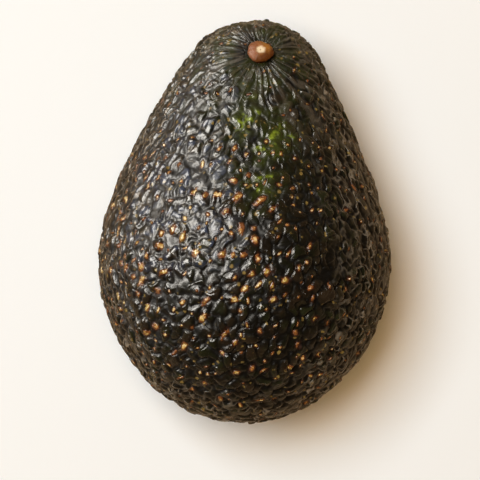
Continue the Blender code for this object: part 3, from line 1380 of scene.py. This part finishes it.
@dataclass(frozen=True)
class StemFinish:
    """Colours and gloss of the dried stub.

    Attributes:
        bark_and_painted_shade: Colour of the rim and the sides, partly painted shade there, and painted shade
            on the top towards the lower right.
        warm: Colour of the top round the scar.
        rosy: Colour of its paler patches, on the left.
        scar: Colour of the pale scar.
        pith: Colour of the small dot in it.
        rough: Roughness.
        shine: Specular level.
        grain: Height of the wood's grain in metres.
    """

    bark_and_painted_shade: Colour = (0.110, 0.030, 0.004, 1.0)
    warm: Colour = (0.33, 0.125, 0.016, 1.0)
    rosy: Colour = (0.27, 0.090, 0.032, 1.0)
    scar: Colour = (0.80, 0.62, 0.40, 1.0)
    pith: Colour = (0.45, 0.30, 0.18, 1.0)
    rough: float = 0.50
    shine: float = 0.30
    grain: float = 0.00030

    def material(self, stem: StemPlace) -> bpy.types.Material:
        """Makes the stub's material.

        The top goes from rosy to warm towards the right, and towards the lower
        right to the dark brown of the sides, a painted shade. Below the top the
        sides are dark brown, partly their own colour and partly painted shade. The
        scar lies in its middle, with an uneven edge.

        Args:
            stem: Where the stub stands.

        Returns:
            The material.
        """
        made, sheet, shader = new_material("dried_stem")
        where = sheet.add("TexCoord").outputs["Object"]
        spread = sheet.attribute("spread")
        top = sheet.ease(sheet.attribute("upness"), 0.35, 0.75)
        out = sheet.vector("SUBTRACT", where, stem.point)
        patch = sheet.noise(where, 800.0, 3.0)
        right, low = (
            sheet.math("MULTIPLY_ADD", patch, 0.0024, sheet.vector("DOT_PRODUCT", out, way, part="Value"))
            for way in ((1.0, 0.0, 0.0), (0.6, -0.8, 0.0))
        )
        flat = sheet.blend(sheet.ease(right, 0.0002, 0.0022), self.rosy, self.warm)
        # painted shade: the top darkens towards the lower right
        flat = sheet.blend(sheet.ease(low, 0.0010, 0.0030), flat, self.bark_and_painted_shade)
        # dark brown down the sides below the top, partly painted shade
        body = sheet.blend(top, self.bark_and_painted_shade, flat)
        ragged = sheet.math("MULTIPLY_ADD", sheet.noise(where, 1500.0), 0.8, -0.4)
        pale = sheet.ease(sheet.math("ADD", spread, ragged), 1.35, 0.60)
        dot = sheet.ease(spread, 0.24, 0.12)
        for mask, colour in ((pale, self.scar), (dot, self.pith)):
            body = sheet.blend(sheet.math("MULTIPLY", mask, top), body, colour)
        inputs = {
            "Base Color": body,
            "Roughness": self.rough,
            "Specular IOR Level": self.shine,
            "Normal": sheet.bump(sheet.noise(where, 1100.0, 3.0), self.grain),
        }
        sheet.fill(shader, inputs)
        return made


@dataclass(frozen=True)
class Lamp:
    """A soft light that faces the fruit.

    Attributes:
        name: Its name.
        azimuth: Direction it stands in, in degrees from +X towards +Y.
        elevation: Height above the horizon in degrees.
        distance: Distance from the fruit in metres.
        size: Width and height in metres.
        power: Power in watts.
        colour: Its colour.
        reach: What it acts on.
    """

    name: str
    azimuth: float
    elevation: float
    distance: float
    size: tuple[float, float]
    power: float
    colour: tuple[float, float, float]
    reach: Reach

    def build(self, target: Vector) -> None:
        """Adds the light to the scene.

        Args:
            target: The point it faces.
        """
        data = bpy.data.lights.new(self.name, "AREA")
        data.shape = "RECTANGLE"
        data.size, data.size_y = self.size
        data.energy = self.power
        data.color = self.colour
        a, e = math.radians(self.azimuth), math.radians(self.elevation)
        out = Vector((math.cos(a) * math.cos(e), math.sin(a) * math.cos(e), math.sin(e)))
        made = show(self.name, data)
        made.location = target + out * self.distance
        made.rotation_mode = "QUATERNION"
        made.rotation_quaternion = out.to_track_quat("Z", "Y")
        made.visible_diffuse = self.reach is Reach.SHADE
        made.visible_glossy = self.reach is Reach.SHEEN


@dataclass(frozen=True)
class Studio:
    """Floor, lights, surroundings and camera.

    Attributes:
        floor_colour: Colour of the pale floor.
        floor_reach: Half of the floor's side in metres.
        surround: Colour of the surroundings.
        strength: Their strength.
        mirrored: How much of that strength reflections see, from below and from above.
        horizon: Heights of a direction between which the one gives way to the other.
        target: The point that the lights face.
        lamps: The lights.
        height: Camera height above the table.
        widest: Height of the fruit's widest level.
        view_width: Width of the view at that level, in metres.
        sensor: Width of the camera's sensor in millimetres.
        aim: Where the view's middle falls, in metres from the fruit's middle.
        lean: How far the fruit leans clockwise in the view, in degrees.
    """

    floor_colour: Colour = (0.90, 0.90, 0.90, 1.0)
    floor_reach: float = 4.0
    surround: Colour = (1.0, 0.65, 0.32, 1.0)
    strength: float = 0.17
    mirrored: tuple[float, float] = (1.94, 0.44)
    horizon: tuple[float, float] = (-0.3, 0.2)
    target: tuple[float, float, float] = (0.0, 0.0, 0.03)
    lamps: tuple[Lamp, ...] = (
        Lamp("key", 148.0, 72.0, 0.85, (0.36, 0.36), 6.85, (0.72, 0.865, 0.975), Reach.SHADE),
        Lamp("fill", 147.0, 86.0, 0.85, (0.26, 0.26), 2.6, (1.0, 0.64, 0.28), Reach.SHADE),
        Lamp("sheen", 153.0, 35.0, 0.70, (0.54, 0.28), 11.4, (1.0, 0.955, 0.88), Reach.SHEEN),
        Lamp("glint", 150.0, 62.0, 0.80, (0.06, 0.20), 2.4, (1.0, 0.94, 0.84), Reach.SHEEN),
    )
    height: float = 0.55
    widest: float = 0.034
    view_width: float = 0.1152
    sensor: float = 36.0
    aim: tuple[float, float] = (-0.0014, -0.0046)
    lean: float = 1.8

    def build(self) -> None:
        """Builds the floor, the lights, the surroundings and the camera."""
        self.build_floor()
        for lamp in self.lamps:
            lamp.build(Vector(self.target))
        self.build_surroundings()
        self.build_camera()
        bpy.context.scene.view_settings.view_transform = "Standard"

    def build_floor(self) -> None:
        """Builds the floor the fruit lies on."""
        material, sheet, shader = new_material("pale_floor")
        inputs = {"Base Color": self.floor_colour, "Roughness": 0.9, "Specular IOR Level": 0.1}
        sheet.fill(shader, inputs)
        mesh = bpy.data.meshes.new("floor")
        signs = ((-1.0, -1.0), (1.0, -1.0), (1.0, 1.0), (-1.0, 1.0))
        corners = [(self.floor_reach * x, self.floor_reach * y, 0.0) for x, y in signs]
        mesh.from_pydata(corners, [], [(0, 1, 2, 3)])
        mesh.materials.append(material)
        floor = show("floor", mesh)
        floor.visible_glossy = False

    def build_surroundings(self) -> None:
        """Sets the surroundings: even for the floor and the skin's colours, uneven in reflections."""
        world = bpy.data.worlds.new("surround")
        world.use_nodes = True
        sheet = Sheet(world.node_tree)
        way = sheet.fill(sheet.add("SeparateXYZ"), {0: sheet.add("TexCoord").outputs["Generated"]})
        below, above = (self.strength * share for share in self.mirrored)
        mirrored = sheet.between(sheet.ease(way.outputs["Z"], *self.horizon), below, above)
        glossy = sheet.add("LightPath").outputs["Is Glossy Ray"]
        strength = sheet.between(glossy, self.strength, mirrored)
        sheet.fill(world.node_tree.nodes["Background"], {"Color": self.surround, "Strength": strength})
        bpy.context.scene.world = world

    def build_camera(self) -> None:
        """Sets the camera straight above, turned so that the fruit leans as in the photo."""
        data = bpy.data.cameras.new("camera")
        data.sensor_width = self.sensor
        data.lens = self.sensor * (self.height - self.widest) / self.view_width
        camera = show("camera", data)
        lean = math.radians(self.lean)
        camera.location = Matrix.Rotation(lean, 4, "Z") @ Vector((*self.aim, self.height))
        camera.rotation_euler = (0.0, 0.0, lean)
        bpy.context.scene.camera = camera


def attach(piece: bpy.types.Object, node: str) -> None:
    """Puts a piece in a CAD node's place.

    Args:
        piece: The finer piece.
        node: The CAD node that it stands for.
    """
    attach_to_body(piece, "root")
    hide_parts(node)


def main() -> None:
    """Builds the scene in order: frame, skin, stub, studio."""
    logging.basicConfig(level=logging.INFO, format="%(name)s: %(message)s")
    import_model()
    body = Body()
    stem = StemPlace.on(body, along=0.832, aside=0.045)
    attach(Skin(body, stem).build(SkinFinish().material(stem)), "fruit")
    attach(Stub(stem).build(StemFinish().material(stem)), "stem_button")
    Studio().build()


if __name__ == "__main__":
    main()
